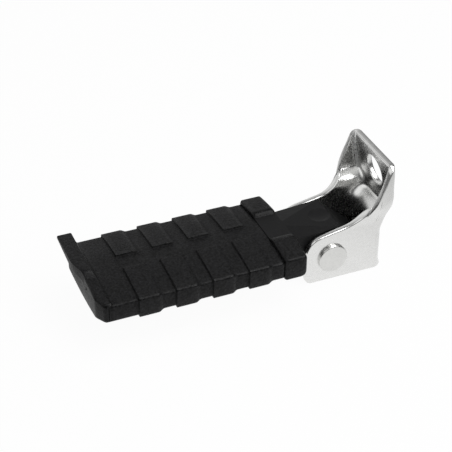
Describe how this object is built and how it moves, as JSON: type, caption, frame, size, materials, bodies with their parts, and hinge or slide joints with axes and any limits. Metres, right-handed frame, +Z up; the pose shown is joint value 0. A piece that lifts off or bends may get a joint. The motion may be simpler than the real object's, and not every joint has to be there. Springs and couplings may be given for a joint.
{
  "type": "folding foot peg",
  "caption": "Folding foot peg: black rubber tread with raised pads on a tongue that turns on a rivet between the ears of a bright pressed-steel clevis bracket with a bolt hole.",
  "frame": {"origin": "centre of the bolt hole on the bracket's outer, mounting face", "axes": "+X towards the vehicle so that the peg points along -X, +Y away from the rivet's flat head, +Z up with the tread level"},
  "size_m": [0.132, 0.0462, 0.0502],
  "materials": {
    "bright_plated_steel": "bright chrome plating on pressed sheet",
    "zinc_plated_steel": "plain zinc plating",
    "bush_brass": "turned",
    "black_core": "satin black coating",
    "black_rubber": "satin moulded rubber"
  },
  "bodies": {
    "bracket": {"bracket": "bright_plated_steel", "hinge_rivet": "zinc_plated_steel", "tail_washer": "zinc_plated_steel", "thrust_washer": "zinc_plated_steel", "cone_washer": "zinc_plated_steel"},
    "peg": {"peg_core": "black_core", "tread": "black_rubber", "eye_bush": "bush_brass"}
  },
  "joints": [
    {"name": "peg_fold", "type": "hinge", "parent": "bracket", "child": "peg", "pos_m": [-0.0264, 0, -0.029], "axis": [0, 1, 0], "range_deg": [0, 85]}
  ]
}
